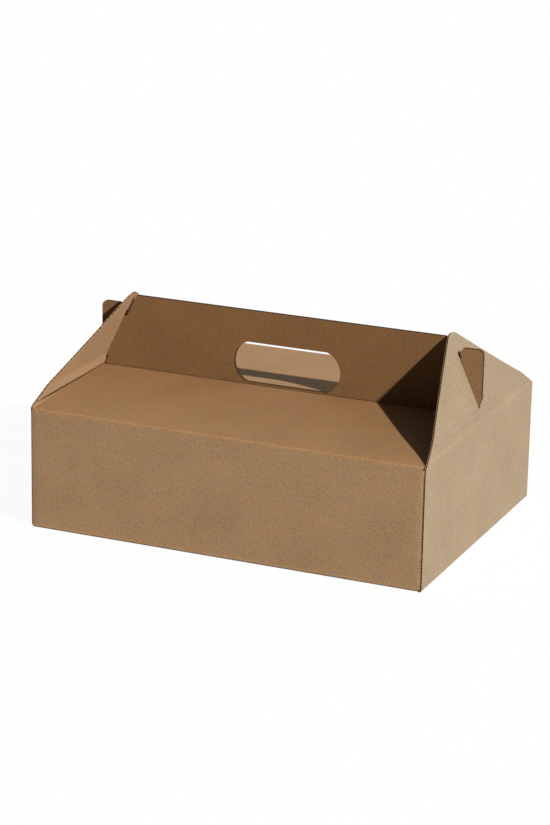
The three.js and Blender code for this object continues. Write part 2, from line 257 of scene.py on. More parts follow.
def board_mesh(name, middle, squares, sheet, marks, thickness):
    """A board of the given thickness around its middle surface, as a new object with no parent.

    Each vertex moves half the thickness out and in along its normal, the mean of its squares' normals
    weighted by area. Round every free edge runs a rim of five bands: the outer liner's cut edge, a step
    in, the fluted layer, a step out, and the inner liner's cut edge. The attribute sheet holds (distance
    across the flutes, distance along them, depth from 0 outside to 1 inside). The columns of marks hold
    the painted fold highlights and shade outside, the ones inside, and the share of the handle's painted
    shade. A crease mark is above 0 for a painted highlight and below 0 for painted shade. The last column
    is -1 on an end board, whose outside gets the ends' painted light tint and whose inside gets a small
    share of the handle's painted shade instead.
    """
    count = len(middle)
    a, b, c, d = (middle[squares[:, k]] for k in range(4))
    facing = np.cross(c - a, d - b)
    normals = np.zeros_like(middle)
    for k in range(4):
        np.add.at(normals, squares[:, k], facing)
    normals /= np.linalg.norm(normals, axis=1, keepdims=True)
    starts = squares.reshape(-1)
    ends = np.roll(squares, -1, axis=1).reshape(-1)
    free = ~np.isin(ends * count + starts, starts * count + ends)
    starts, ends = starts[free], ends[free]
    outward = np.zeros_like(middle)
    for here in (starts, ends):
        np.add.at(outward, here, np.cross(middle[ends] - middle[starts], normals[here]))
    rim = np.unique(starts)
    place = np.zeros(count, int)
    place[rim] = np.arange(len(rim))
    out = outward[rim] / np.linalg.norm(outward[rim], axis=1, keepdims=True)
    points = [middle + normals * thickness / 2, middle - normals * thickness / 2]
    depths = [np.zeros(count), np.ones(count)]
    creases = [marks[:, 0], marks[:, 1]]
    # The share of the handle's painted shade; an end board's inside gets a small share of it.
    handled = [marks[:, 2], np.where(marks[:, 2] < 0, END_INSIDE_HANDLE_SHADE, marks[:, 2])]
    sheets = [sheet, sheet]
    rings = [(starts, ends)]
    total = 2 * count
    for depth, back in zip(RIM_DEPTHS[1:-1], (0.0, RIM_INSET, RIM_INSET, 0.0)):
        points.append(middle[rim] + normals[rim] * thickness * (0.5 - depth) - out * back)
        depths.append(np.full(len(rim), depth))
        creases.append(np.zeros(len(rim)))
        handled.append(marks[rim, 2])
        sheets.append(sheet[rim])
        rings.append((total + place[starts], total + place[ends]))
        total += len(rim)
    rings.append((starts + count, ends + count))
    bands = [
        np.stack([upper[0], lower[0], lower[1], upper[1]], 1) for upper, lower in zip(rings, rings[1:])
    ]
    faces = np.concatenate([squares, squares[:, ::-1] + count] + bands)
    cut = np.concatenate([np.zeros(2 * len(squares), int), np.ones(sum(map(len, bands)), int)])
    mesh = bpy.data.meshes.new(name)
    mesh.from_pydata(np.concatenate(points).tolist(), [], faces.tolist())
    sheet_values = np.concatenate([np.concatenate(sheets), np.concatenate(depths)[:, None]], 1)
    attribute = mesh.attributes.new("sheet", "FLOAT_VECTOR", "POINT")
    attribute.data.foreach_set("vector", sheet_values.astype(np.float32).ravel())
    for key, values in (("crease", creases), ("handled", handled)):
        attribute = mesh.attributes.new(key, "FLOAT", "POINT")
        attribute.data.foreach_set("value", np.concatenate(values).astype(np.float32))
    mesh.polygons.foreach_set("material_index", cut.astype(np.int32))
    mesh.polygons.foreach_set("use_smooth", np.ones(len(faces), bool))
    mesh.set_sharp_from_angle(angle=math.radians(38))
    mesh.update()
    if mesh.validate():
        raise RuntimeError(f"{name}: the board's mesh had faulty faces")
    board = bpy.data.objects.new(name, mesh)
    bpy.context.scene.collection.objects.link(board)
    return board


def near(values, centre, width):
    """A bell of height 1 about centre: e to the minus square of the distance over the width."""
    return np.exp(-(((values - centre) / width) ** 2))


def gable_line(s, z, inside):
    """X at height z of the line that runs this far inside the right gable's outer face.

    It is the line's x beside the hinge, less the height above that times the tangent of the lean.
    """
    x, _, height = HINGES["gable_right"]
    x -= inside * math.cos(s.lean)
    height -= inside * math.sin(s.lean)
    return x - (z - height) * math.tan(s.lean)


def gable_point(s, up, inside):
    """(X, Z) of the point this far up the right gable from its hinge and this far inside its outer face.

    Both ways are turned by the lean: x loses up times its sine and inside times its cosine, and z gains
    up times its cosine and loses inside times its sine.
    """
    x, _, height = HINGES["gable_right"]
    sin, cos = math.sin(s.lean), math.cos(s.lean)
    return x - up * sin - inside * cos, height + up * cos - inside * sin


def neck_heights(s):
    """Heights, on the gable's inner face, of the foot of the ears' neck and of the notch above it."""
    return [gable_point(s, up, s.board)[1] for up in (NECK_FOOT, NECK_NOTCH)]


def ear_corners(s):
    """(X, Z) of the corners of an ear: the neck's foot, the heel, and the notch inside and outside."""
    return (
        gable_point(s, NECK_FOOT, s.board + NECK_ROOM), gable_point(s, HEEL, -HOOK_ROOM),
        gable_point(s, NECK_NOTCH, s.board + NECK_ROOM), gable_point(s, NECK_NOTCH, -HOOK_ROOM),
    )


def handle_sides(s, z):
    """Distances from the middle, at each height z on the handle, of the hole's edge and the side edge.

    The hole's edge is the centre of its end arc plus the root of the radius squared less the square of
    the height from the hole's middle. The side edge runs along the gable, set back below and above the
    neck.
    """
    rise = s.hole_height / 2
    radius = (rise**2 + s.hole_bulge**2) / (2 * s.hole_bulge)
    centre = s.hole_straight / 2 + s.hole_bulge - radius
    up = np.clip(np.abs(z - s.hole_bottom - rise), 0, rise)
    hole = centre + np.sqrt(radius**2 - up**2)
    foot, notch = neck_heights(s)
    set_back = np.clip((foot - z) / NECK_STEP, 0, 1) + np.clip((z - notch) / NECK_STEP, 0, 1)
    return hole, gable_line(s, z, s.board + NECK_ROOM) - SIDE_SET_BACK * set_back


def strip_path(s):
    """Half the strip's path in the YZ plane, from the handle's top edge to the middle of the base.

    Returned are its points, the lengths at them, and the lengths at its folds: where the ply ends, where
    the crease under the handle lies, where the top panel ends, and the front wall's top and bottom.
    """
    t = s.board
    half_depth = s.depth / 2
    ply = (s.ply_gap + t) / 2
    wall = half_depth - t / 2
    slope = (s.handle_base - s.wall) / (half_depth - ply - t / 2)
    thinner = t / 2 * math.hypot(1, slope)
    base = s.wall + (half_depth - ply) * slope - thinner
    path, lengths = rounded_path([
        (-ply, s.handle_top),
        (-ply, base, HANDLE_FOLD),
        (-wall, s.wall + (half_depth - wall) * slope - thinner, s.fold),
        (-wall, t / 2, s.fold),
        (0.0, t / 2),
    ])
    on_wall = lengths[np.abs(path[:, 0] + wall) < 1e-9]
    return path, lengths, {
        "ply_end": s.handle_top - (base + HANDLE_FOLD),
        "crease": lengths[np.argmin(np.abs(path[:, 1] - base))],
        "panel_end": lengths[lengths < on_wall[0]].max(),
        "wall_top": on_wall[0],
        "wall_bottom": on_wall[-1],
    }


def strip_rows(s, lengths, at):
    """Rows down the half strip: close on the handle, at the corners of its outline, and round each fold."""
    quarter = np.sin(np.linspace(0, math.pi / 2, 7))
    foot, notch = neck_heights(s)
    heights = [
        *(s.hole_bottom + s.hole_height / 2 + np.linspace(-1, 1, 15) * s.hole_height / 2),
        *(s.ear_top - HOOK_INNER * (1 - quarter)), *(s.ear_top - HOOK_OUTER * (1 - quarter)),
        *(z for _, z in ear_corners(s)), EAR_FULL,
        s.hole_bottom, s.hole_bottom + s.hole_height, s.ear_top,
        foot, foot - NECK_STEP, notch, notch + NECK_STEP,
    ]
    on_ply = rows_between(0, at["ply_end"], 0.0028, s.handle_top - np.array(heights))
    folds = np.array([at["crease"], at["wall_top"], at["wall_bottom"]])
    spread = np.array([0.0006, 0.0012, 0.002, 0.0032, 0.005, 0.008])
    extra = np.concatenate([lengths, *(folds[:, None] + side * spread for side in (-1, 1))], axis=None)
    return np.unique(np.concatenate([on_ply, rows_between(at["ply_end"], lengths[-1], 0.0055, extra)]))


def ear_panel(s, rows):
    """The ear past the handle's side, between an inner and an outer edge looked up by height.

    Each edge runs straight from corner to corner. At the top it turns in along a quarter circle: by the
    radius less the root of the radius squared less the square of the height gained in the turn.
    """
    foot, heel, notch_in, notch_out = ear_corners(s)
    z = s.handle_top - rows
    rows = rows[(z >= foot[1] - TINY) & (z <= s.ear_top + TINY)]
    z = s.handle_top - rows

    def turned_in(radius):
        gained = np.maximum(z - s.ear_top + radius, 0)
        return radius - np.sqrt(np.maximum(radius**2 - gained**2, 0))

    inner = np.interp(z, [notch_in[1], notch_out[1]], [notch_in[0], notch_out[0]])
    inner = np.where(z <= notch_in[1], handle_sides(s, z)[1], inner) + turned_in(HOOK_INNER)
    outer = np.interp(z, [foot[1], heel[1], EAR_FULL], [foot[0] + FOOT_WIDTH, heel[0], s.ear_reach])
    return patch(rows, inner, outer - turned_in(HOOK_OUTER), 6)


def corner_flap(s, rows, middle, corner):
    """The flap past the front wall's side: the wall's rows drawn to the middle by a share that grows out."""
    flap = np.concatenate([np.linspace(0, s.fold * math.pi / 2, 7), [0.01, 0.03, FLAP_WIDTH]])
    grid, squares = patch(rows, np.zeros(len(rows)), np.ones(len(rows)), len(flap) - 1)
    out = np.tile(flap, len(rows))
    kept = 1 - FLAP_TAPER * out / flap[-1] - FLAP_STEP * (out > 0)
    return np.stack([corner + out, middle + (grid[:, 1] - middle) * kept], 1), squares


def flat_strip(s, rows, at, corner):
    """The half strip laid flat, as (points, squares): panels round the hole, ears and corner flaps."""
    inside = s.length / 2 - s.board
    z = s.handle_top - rows
    on_ply = rows <= at["ply_end"] + TINY
    on_wall = (rows >= at["wall_top"] - TINY) & (rows <= at["wall_bottom"] + TINY)
    hole, side = handle_sides(s, z)
    hole[~on_ply] = s.hole_straight / 2
    panel_edge = inside - PANEL_ROOM
    side = np.where(on_ply, np.minimum(side, panel_edge), panel_edge)
    side[on_wall] = corner
    side[rows > at["wall_bottom"] + TINY] = inside - BASE_ROOM
    beside = patch(rows, hole, side, 26)
    straight = np.full(len(rows), s.hole_straight / 2)
    over_and_under = [
        patch(rows[part], -straight[part], straight[part], 14)
        for part in (z >= s.hole_bottom + s.hole_height - TINY, z <= s.hole_bottom + TINY)
    ]
    ear = ear_panel(s, rows)
    flap = corner_flap(s, rows[on_wall], (at["wall_top"] + at["wall_bottom"]) / 2, corner)
    return weld([beside, *over_and_under, ear, flap] + [mirrored(panel) for panel in (beside, ear, flap)])


def folded_strip(s, x, p, path, lengths, at, corner):
    """The half strip's points in place, and how far each lies past the front wall's side.

    Y and Z are looked up along the path at p. Past the wall's side a point goes round the corner: across
    by the radius times the sine of past over radius, and back by the radius times one less the cosine,
    then straight back. A little is added where a corner stands out, and the wall and the panel bow by
    the cosine across times the square of the sine down.
    """
    y = np.interp(p, lengths, path[:, 0])
    z = np.interp(p, lengths, path[:, 1])
    wall_row = (p > at["wall_top"] - 1e-6) & (p < at["wall_bottom"] + 1e-6)
    past = np.where(wall_row, np.maximum(np.abs(x) - corner, 0), 0)
    turned = past > TINY
    angle = np.minimum(past / s.fold, math.pi / 2)
    bent = corner + s.fold * np.sin(angle)
    back = s.fold * (1 - np.cos(angle)) + np.maximum(past - s.fold * math.pi / 2, 0)
    across = np.where(turned, np.sign(x) * bent, x)
    stand_out = np.where(x < 0, LEFT_STANDS_OUT, RIGHT_STANDS_OUT)
    stand_out = stand_out * np.clip(2 - 2 * angle / (math.pi / 2), 0, 1)
    run_up = np.clip((np.abs(x) - corner + STAND_OUT_RUN) / STAND_OUT_RUN, 0, 1)
    across = np.where(wall_row, across + np.sign(x) * stand_out * run_up, across)
    y = np.where(turned, y + back, y)
    bow = np.cos(np.clip(np.abs(x) / corner, 0, 1) * math.pi / 2)
    down_wall = np.clip((p - at["wall_top"]) / (at["wall_bottom"] - at["wall_top"]), 0, 1)
    y -= WALL_BOW * bow * np.sin(down_wall * math.pi) ** 2 * ~turned
    down_panel = np.clip((p - at["crease"]) / (at["panel_end"] - at["crease"]), 0, 1)
    z -= PANEL_SAG * bow * np.sin(down_panel * math.pi) ** 2
    return np.stack([across, y, z], 1), past


def build_strip(s):
    """The long strip as (middle points, squares, sheet coordinates, marks).

    Its flat half is a grid over x, across, and p, down from the handle's top edge. The half is bent by
    looking p up along a rounded path in the YZ plane, through the handle, top panel, front wall and half
    the base, and the rear half is the same turned round the Z axis.
    """
    path, lengths, at = strip_path(s)
    end = lengths[-1]
    corner = s.length / 2 - s.board - s.board / 2 - s.fold
    flat, squares = flat_strip(s, strip_rows(s, lengths, at), at, corner)
    x, p = flat.T
    points, past = folded_strip(s, x, p, path, lengths, at, corner)
    # Painted highlights along the front wall's top and bottom folds, less painted shade lines in the crease
    # under the handle and below the bottom fold, and painted shade at the front corners; the inside gets the
    # opposite marks.
    mark = near(p, at["wall_top"] - 0.001, 0.0014) + near(p, at["wall_bottom"] - 0.0004, 0.001)
    crease_shade = near(p, at["crease"], 0.001) + near(p, at["wall_bottom"] + 0.0019, 0.0008)
    mark -= SHADE_LINES * crease_shade
    mark = np.where(past > TINY, mark - CORNER_SHADE * near(past, 0.001, 0.0013), mark)
    # Painted shade: full on the handle plies, fading over the top panel to nothing on the front wall, weaker
    # on one ear of each ply and on the rear panel.
    steps = [at["ply_end"] - 0.001, at["ply_end"], at["panel_end"], at["wall_top"]]
    handled = np.interp(p, steps, [1, 1, PANEL_HANDLE_SHADE, 0])
    handled = np.where((x > EAR_FROM) & (p < at["ply_end"]), EAR_HANDLE_SHADE, handled)
    at_rear = np.where(p > at["ply_end"], REAR_PANEL_SHARE * handled, handled)
    both = np.concatenate([points, points * [-1, -1, 1]])
    sheet = np.concatenate([flat, np.stack([-x, 2 * end - p], 1)])
    marks = np.concatenate([np.stack([mark, -mark, shown], 1) for shown in (handled, at_rear)])
    squares = np.concatenate([squares, squares + len(points)])
    _, first, inverse = np.unique(np.round(both, 6), axis=0, return_index=True, return_inverse=True)
    return both[first], inverse.reshape(-1)[squares], sheet[first], marks[first]


def end_path(s):
    """The right end's path in the XZ plane: points, their lengths, and the length where the wall starts.

    It runs from the base over the crease to the gable's point as it would be without its rounding.
    """
    middle = s.board / 2
    wall = HINGES["gable_right"][0] - middle
    path, lengths = rounded_path([
        (wall - s.fold - BASE_RUN, middle),
        (wall, middle, s.fold),
        (wall, s.wall + SCORE_RISE, SCORE_RADIUS),
        (*gable_point(s, BEND_UP, middle), CREASE_RADIUS),
        gable_point(s, s.gable_height, middle),
    ])
    return path, lengths, lengths[np.argmax(path[:, 0] > wall - 1e-9)]


def flat_end(s, lengths, crease, fold_end, half_wall):
    """The right end laid flat, as (points, squares), with its place up counted from the gable's crease.

    Its half width is the wall's up to the shoulder, and then shrinks evenly to the point, which is a
    circle: the root of the radius squared less the square of the height from its centre. To ease the
    shoulder, what is taken off the wall's half width is the softness times the logarithm of one plus e to
    the plain loss over the softness. The front edge comes in at the shoulder by a bell, the rear edge goes
    out by another, and below the shoulder the rear edge is set in.
    """
    half_gable = half_wall - s.gable_inset
    slope = s.gable_height / half_gable
    angle = math.atan(slope)
    tip_centre = s.gable_height - s.gable_tip / math.cos(angle)
    arcs = tip_centre + s.gable_tip * np.cos(np.linspace(0.06, angle, 8))
    shoulder = -s.gable_inset * slope
    up = rows_between(-crease, arcs.max(), 0.0045, np.concatenate([
        lengths - crease, arcs, [s.slit_bottom, s.slit_top, shoulder],
        shoulder + np.linspace(-0.004, 0.004, 13),
        fold_end - crease + np.array([0.0006, 0.0012, 0.002, 0.0035, 0.006]),
        np.linspace(-0.012, 0.012, 49),
    ]))
    line = half_gable - up / slope
    round_tip = np.sqrt(np.maximum(s.gable_tip**2 - (up - tip_centre) ** 2, 0))
    width = np.where(up > tip_centre + s.gable_tip * math.cos(angle), round_tip, line)
    width = half_wall - np.logaddexp(0, (half_wall - width) / SHOULDER_SOFTNESS) * SHOULDER_SOFTNESS
    width = np.where(up > 0.004, np.minimum(width, np.where(up > arcs.min(), round_tip, line)), width)
    slit = np.minimum(s.slit_half, width * 0.5)
    front = width - SHOULDER_IN * near(up, 0.002, 0.009)
    width = width + SHOULDER_OUT * near(up, 0.006, 0.011)
    rear = width - WALL_REAR_IN * np.clip((shoulder - up) / 0.003, 0, 1)
    middle = [
        patch(up[part], -slit[part], slit[part], 2)
        for part in (up <= s.slit_bottom + TINY, up >= s.slit_top - TINY)
    ]
    return weld([patch(up, slit, rear, 30), mirrored(patch(up, slit, front, 30)), *middle])


def build_end(s):
    """The right end wall with its gable, as (middle points, squares, sheet coordinates, marks).

    The flat sheet is a grid over y, across, and p, up from the base, and p is looked up along a rounded
    path in the XZ plane, through the fold at the base and the crease under the gable. Up the gable, y
    moves to one side by the square of the share of its height, but not at the slit. The wall bows by the
    cosine across times the square of the sine up.
    """
    path, lengths, fold_end = end_path(s)
    crease = lengths[-1] - s.gable_height
    half_wall = s.depth / 2 - END_ROOM
    flat, squares = flat_end(s, lengths, crease, fold_end, half_wall)
    y, up = flat.T
    off_slit = np.maximum((np.abs(y) - s.slit_half) / 0.004, (up - s.slit_top) / 0.006)
    y = y + POINT_SHIFT * np.clip(up / s.gable_height, 0, 1) ** 2 * np.clip(off_slit, 0, 1)
    p = up + crease
    x = np.interp(p, lengths, path[:, 0])
    z = np.interp(p, lengths, path[:, 1])
    across = np.abs(y) / half_wall
    bow = np.cos(np.clip(across, 0, 1) * math.pi / 2)
    x += END_BOW * bow * np.sin(np.clip(p / crease, 0, 1) * math.pi) ** 2
    # Painted highlights along the fold at the base and the score line under the gable, painted shade on the
    # gable's outside and inside the base fold, and a painted shade line inside the gable above the top
    # panels; -1 marks the end board for its painted light tint.
    fold = near(p, fold_end - 0.001, 0.0016)
    score_highlight = near(z, s.wall - 0.0004, 0.0011)
    shade_line = np.clip(np.minimum(half_wall - 0.004 - np.abs(y), np.abs(y) + 0.02) / 0.03, 0, 1) ** 0.5
    shade_line = INNER_SHADE_LINE * near(z, s.wall + 0.0034 + 0.002 * (1 - across), 0.0011) * shade_line
    gable_shade = GABLE_SHADE * np.clip((z - s.wall) / 0.004, 0, 1)
    marks = np.stack([fold + SCORE_HIGHLIGHT * score_highlight - gable_shade, -0.5 * fold - shade_line, np.full(len(p), -1.0)], 1)
    return np.stack([x, y, z], 1), squares[:, ::-1], np.stack([p, y], 1), marks


def node(tree, kind, inputs=(), **settings):
    """A new shader node with its settings made and its inputs filled or linked."""
    made = tree.nodes.new(kind)
    for name, value in settings.items():
        setattr(made, name, value)
    for name, value in dict(inputs).items():
        if isinstance(value, bpy.types.NodeSocket):
            tree.links.new(value, made.inputs[name])
        else:
            made.inputs[name].default_value = value
    return made


def calc(tree, operation, *values):
    """The output of a Math node on two or three values or sockets."""
    return node(tree, "ShaderNodeMath", enumerate(values), operation=operation).outputs[0]


def remap(tree, value, low, high, out_low=0.0, out_high=1.0):
    """A value taken smoothly from one range to another and held at its ends."""
    return node(
        tree, "ShaderNodeMapRange",
        {"Value": value, "From Min": low, "From Max": high, "To Min": out_low, "To Max": out_high},
        interpolation_type="SMOOTHSTEP",
    ).outputs["Result"]


def tint(tree, colour_in, factor):
    """A colour times a grey factor."""
    return node(tree, "ShaderNodeVectorMath", {0: colour_in, "Scale": factor}, operation="SCALE").outputs[0]


def new_group(name, inputs, outputs):
    """An empty shader node group with its sockets, and its input and output nodes."""
    group = bpy.data.node_groups.new(name, "ShaderNodeTree")
    for socket, kind, default in inputs:
        made = group.interface.new_socket(name=socket, in_out="INPUT", socket_type=kind)
        made.default_value = default
    for socket, kind in outputs:
        group.interface.new_socket(name=socket, in_out="OUTPUT", socket_type=kind)
    return group, group.nodes.new("NodeGroupInput").outputs, group.nodes.new("NodeGroupOutput")


def flat_place(tree, stretch):
    """Where a point lies in the flat sheet, scaled across the flutes, along them and through the board."""
    where = node(tree, "ShaderNodeAttribute", attribute_name="sheet").outputs["Vector"]
    return node(tree, "ShaderNodeVectorMath", {0: where, 1: stretch}, operation="MULTIPLY").outputs[0]


def noise(tree, place, scale, detail=3.0, roughness=0.55):
    """Noise from 0 to 1 at a place."""
    return node(
        tree, "ShaderNodeTexNoise",
        {"Vector": place, "Scale": scale, "Detail": detail, "Roughness": roughness},
    ).outputs["Fac"]


def kraft_paper_group():
    """Kraft liner: cloudy tone, short fibres, dark specks, ribs from the flutes, and painted light and shade
    at the folds.

    The tone is 1 plus each pattern's distance from its middle times a weight, the patterns from clouds of
    45 mm to grain of 1 mm, plus the painted highlights along folds, less the painted shade in creases, and
    times 1 less the specks. The colour is the paper's times the tone, with the handle's painted shade and
    the ends' painted light tint.
    """
    tree, given, result = new_group(
        "Kraft paper",
        [
            ("Paper", "NodeSocketColor", (0.4, 0.27, 0.16, 1)),
            ("Handle Tint", "NodeSocketColor", (0.85, 0.75, 0.65, 1)),
            ("End Tint", "NodeSocketColor", (0.9, 1.0, 1.1, 1)),
            ("Pitch", "NodeSocketFloat", 0.0024),
            ("Mottle", "NodeSocketFloat", 1.0),
            ("Ribbing", "NodeSocketFloat", 1.0),
        ],
        [("Color", "NodeSocketColor"), ("Roughness", "NodeSocketFloat"), ("Height", "NodeSocketFloat")],
    )
    even = flat_place(tree, (1.0, 1.0, 0.35))
    cloud = noise(tree, even, 22.0, 2.0, 0.5)
    blotch = noise(tree, even, 150.0, 3.0, 0.6)
    grain = noise(tree, even, 900.0, 3.0, 0.7)
    streaks = noise(tree, flat_place(tree, (1.0, 0.035, 0.35)), 420.0, 2.0, 0.6)
    fibres = noise(tree, flat_place(tree, (0.22, 1.0, 0.35)), 1500.0, 2.0, 0.6)
    across = node(tree, "ShaderNodeSeparateXYZ", {0: flat_place(tree, (1.0, 1.0, 1.0))}).outputs["X"]
    phase = calc(tree, "DIVIDE", across, given["Pitch"])
    wave = calc(tree, "SINE", calc(tree, "MULTIPLY", phase, 2 * math.pi))
    patchy = remap(tree, noise(tree, even, 35.0, 2.0, 0.5), 0.35, 0.7, 0.25, 1.0)
    ribs = calc(tree, "MULTIPLY", calc(tree, "MULTIPLY", wave, patchy), given["Ribbing"])
    tone = calc(tree, "MULTIPLY", calc(tree, "SUBTRACT", cloud, 0.5), 0.3)
    flecks = noise(tree, even, 380.0, 3.0, 0.65)
    for value, weight in ((blotch, 0.25), (flecks, 0.4), (grain, 1.7), (streaks, 0.08), (fibres, 0.15)):
        tone = calc(tree, "MULTIPLY_ADD", calc(tree, "SUBTRACT", value, 0.5), weight, tone)
    tone = calc(tree, "MULTIPLY_ADD", tone, given["Mottle"], 1.0)
    # Painted shading of the ribs: the tone rises and falls a little with the flutes, beside their bump.
    tone = calc(tree, "MULTIPLY_ADD", ribs, 0.009, tone)
    crease = node(tree, "ShaderNodeAttribute", attribute_name="crease").outputs["Fac"]
    # Painted highlights along the convex folds and painted shade in the creases and corners.
    painted_highlight = remap(tree, crease, 0.15, 1.0, 0.0, 0.18)
    painted_crease_shade = remap(tree, crease, -0.95, -0.1, 0.35, 0.0)
    painted_crease_shade = calc(tree, "ADD", painted_crease_shade, remap(tree, crease, -1.9, -0.8, 0.6, 0.0))
    ragged = remap(tree, grain, 0.3, 0.6, 0.5, 1.0)
    tone = calc(tree, "ADD", tone, calc(tree, "MULTIPLY", painted_highlight, ragged))
    tone = calc(tree, "SUBTRACT", tone, calc(tree, "MULTIPLY", painted_crease_shade, ragged))
    spots = node(
        tree, "ShaderNodeTexVoronoi", {"Vector": even, "Scale": 95.0, "Randomness": 1.0}, feature="F1"
    )
    chosen = node(tree, "ShaderNodeSeparateColor", {0: spots.outputs["Color"]}).outputs
    speck_size = remap(tree, chosen["Red"], 0.86, 1.0, 0.0, 0.075)
    speck = remap(tree, calc(tree, "SUBTRACT", speck_size, spots.outputs["Distance"]), 0.0, 0.02)
    speck = calc(tree, "MULTIPLY", speck, calc(tree, "MULTIPLY_ADD", chosen["Green"], 0.35, 0.1))
    tone = calc(tree, "MULTIPLY", tone, calc(tree, "SUBTRACT", 1.0, speck))
    # Painted shade on the handle and the panels by it, and a painted light tint on the end boards' outsides.
    handled = node(tree, "ShaderNodeAttribute", attribute_name="handled").outputs["Fac"]
    tinted = given["Paper"]
    for factor, tint_name in ((handled, "Handle Tint"), (calc(tree, "MULTIPLY", handled, -1.0), "End Tint")):
        tinted = node(
            tree, "ShaderNodeMix", {"Factor": factor, 6: tinted, 7: given[tint_name]},
            data_type="RGBA", blend_type="MULTIPLY",
        ).outputs[2]
    warm = node(tree, "ShaderNodeHueSaturation", {
        "Saturation": remap(tree, blotch, 0.3, 0.7, 0.98, 1.03), "Color": tinted,
    }).outputs[0]
    tree.links.new(tint(tree, warm, tone), result.inputs["Color"])
    tree.links.new(remap(tree, grain, 0.2, 0.8, 0.78, 0.92), result.inputs["Roughness"])
    height = calc(tree, "MULTIPLY", ribs, 0.35)
    for value, weight in ((grain, 0.5), (fibres, 0.5), (streaks, 0.4)):
        height = calc(tree, "MULTIPLY_ADD", value, weight, height)
    tree.links.new(height, result.inputs["Height"])
    return tree


def cut_edge_group():
    """Cut corrugated edge: liners on both sides of a waved layer over hollows in painted shade, with painted
    shade on the handle.

    The layer's middle rides at half the board's depth plus a quarter of the sine of the place across the
    flutes, and the liners lie past a third of the depth from the board's middle.
    """
    tree, given, result = new_group(
        "Cut board edge",
        [
            ("Paper", "NodeSocketColor", (0.4, 0.27, 0.16, 1)),
            ("Medium", "NodeSocketColor", (0.28, 0.18, 0.1, 1)),
            ("Hollow", "NodeSocketColor", (0.02, 0.012, 0.007, 1)),
            ("Pitch", "NodeSocketFloat", 0.0024),
        ],
        [("Color", "NodeSocketColor"), ("Height", "NodeSocketFloat")],
    )
    place = node(tree, "ShaderNodeSeparateXYZ", {0: flat_place(tree, (1.0, 1.0, 1.0))}).outputs
    fray = noise(tree, flat_place(tree, (1.0, 1.0, 0.002)), 1400.0, 2.0)
    across = calc(tree, "MULTIPLY_ADD", fray, 0.0006, place["X"])
    phase = calc(tree, "DIVIDE", across, given["Pitch"])
    wave = calc(tree, "SINE", calc(tree, "MULTIPLY", phase, 2 * math.pi))
    ride = calc(tree, "MULTIPLY_ADD", wave, 0.25, 0.5)
    off = calc(tree, "ABSOLUTE", calc(tree, "SUBTRACT", place["Z"], ride))
    layer = remap(tree, off, 0.10, 0.30, 1.0, 0.55)
    layer = calc(tree, "MULTIPLY", layer, remap(tree, wave, -0.6, 0.1, 0.0, 1.0))
    liner = remap(tree, calc(tree, "ABSOLUTE", calc(tree, "SUBTRACT", place["Z"], 0.5)), 0.32, 0.37)
    inside = node(
        tree, "ShaderNodeMix", {"Factor": layer, 6: given["Hollow"], 7: given["Medium"]}, data_type="RGBA"
    )
    edge = node(
        tree, "ShaderNodeMix", {"Factor": liner, 6: inside.outputs[2], 7: tint(tree, given["Paper"], 0.92)},
        data_type="RGBA",
    )
    rough = calc(tree, "MULTIPLY_ADD", fray, 0.5, 0.75)
    # Painted shade: cut edges on the handle are darkened, down to 0.15, as they lie in shade there.
    handled = node(tree, "ShaderNodeAttribute", attribute_name="handled").outputs["Fac"]
    rough = calc(tree, "MULTIPLY", rough, remap(tree, handled, 0.0, 1.0, 1.0, 0.15))
    tree.links.new(tint(tree, edge.outputs[2], rough), result.inputs["Color"])
    tree.links.new(calc(tree, "MAXIMUM", layer, liner), result.inputs["Height"])
    return tree


def material(name, group, values, bump, roughness=None):
    """A dull paper material fed by one of the node groups, with its bump as (strength, distance).

    Light that has already bounced off another surface sees a darker board, which keeps the shade between
    the boards deep.
    """
    made = bpy.data.materials.new(name)
    made.use_nodes = True
    tree = made.node_tree
    shader = tree.nodes["Principled BSDF"]
    shader.inputs["Specular IOR Level"].default_value = 0.25
    effect = node(tree, "ShaderNodeGroup", node_tree=group)
    for key, value in values.items():
        effect.inputs[key].default_value = value
    bounced = calc(tree, "MULTIPLY", node(tree, "ShaderNodeLightPath").outputs["Is Diffuse Ray"], -0.6)
    shown = tint(tree, effect.outputs["Color"], calc(tree, "ADD", bounced, 1.0))
    tree.links.new(shown, shader.inputs["Base Color"])
    if roughness is None:
        tree.links.new(effect.outputs["Roughness"], shader.inputs["Roughness"])
    else:
        shader.inputs["Roughness"].default_value = roughness
    relief = node(tree, "ShaderNodeBump", {
        "Height": effect.outputs["Height"], "Strength": bump[0], "Distance": bump[1],
    })
    tree.links.new(relief.outputs[0], shader.inputs["Normal"])
    return made


def board_materials(finish):
    """The liner's and the cut edge's materials, made once and shared by every board."""
    if "cut_board_edge" not in bpy.data.materials:
        paper = (*finish.paper, 1)
        material(
            "kraft_liner", kraft_paper_group(),
            {
                "Paper": paper, "Handle Tint": (*finish.handle_shade_tint, 1), "End Tint": (*finish.end_lit_tint, 1),
                "Pitch": finish.pitch, "Mottle": finish.mottle, "Ribbing": finish.ribbing,
            },
            (0.25, 0.00006),
        )
        material(
            "cut_board_edge", cut_edge_group(),
            {
                "Paper": paper, "Medium": (*finish.medium, 1), "Hollow": (*finish.hollow, 1),
                "Pitch": finish.pitch,
            },
            (0.6, 0.0002), 0.92,
        )
    return bpy.data.materials["kraft_liner"], bpy.data.materials["cut_board_edge"]


def dress(board, finish):
    """Puts the board's two materials on it."""
    for made in board_materials(finish):
        board.data.materials.append(made)


class CARRYBOX_OT_strip(bpy.types.Operator):
    """Fold the base, walls, top panels and handle plies from one strip"""

    bl_idname = "carrybox.strip"
    bl_label = "Walls and Handle"

    def execute(self, context):
        sizes = context.scene.carry_box_sizes
        strip = board_mesh("folded_strip", *build_strip(sizes), sizes.board)
        dress(strip, context.scene.carry_box_finish)
        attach(strip, "carton")
        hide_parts("carton")
        return {"FINISHED"}


